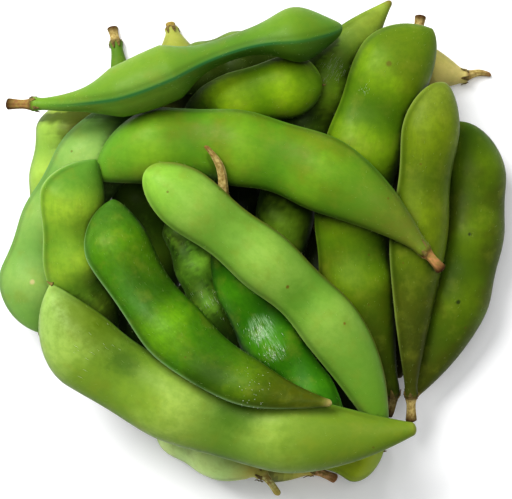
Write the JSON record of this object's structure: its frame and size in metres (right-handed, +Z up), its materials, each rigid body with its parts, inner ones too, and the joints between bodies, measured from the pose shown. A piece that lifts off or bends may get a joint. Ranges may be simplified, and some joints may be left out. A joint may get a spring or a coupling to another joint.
{
  "type": "edamame pod bundle",
  "caption": "Loose heap of fresh green soybean pods, each curved and swollen over its beans, with short stalks, lying on a table.",
  "frame": {"origin": "on the table, under the middle of the heap's box", "axes": "+Z up from the table, +X along the heap's longest way, towards the bare neck of the front pod, +Y away from the front pod"},
  "size_m": [0.0966, 0.0942, 0.0353],
  "materials": {
    "pod_light": "satin skin of the youngest pods, pale yellow-green",
    "pod_mid": "satin skin, fresh leaf green",
    "pod_deep": "satin skin, saturated darker green",
    "pod_olive": "satin skin, yellowish olive green"
  },
  "bodies": {
    "root": {"pod_01": "pod_light", "pod_02": "pod_mid", "pod_03": "pod_light", "pod_04": "pod_mid", "pod_05": "pod_light", "pod_06": "pod_olive", "pod_07": "pod_olive", "pod_08": "pod_deep", "pod_09": "pod_deep", "pod_10": "pod_mid", "pod_11": "pod_olive", "pod_12": "pod_mid", "pod_13": "pod_mid", "pod_14": "pod_light", "pod_15": "pod_mid", "pod_16": "pod_light", "pod_17": "pod_mid", "pod_18": "pod_light", "pod_19": "pod_mid", "pod_20": "pod_mid", "pod_21": "pod_mid", "pod_22": "pod_mid", "pod_23": "pod_mid", "pod_24": "pod_deep", "pod_25": "pod_light", "pod_26": "pod_light", "pod_27": "pod_mid"}
  },
  "joints": []
}
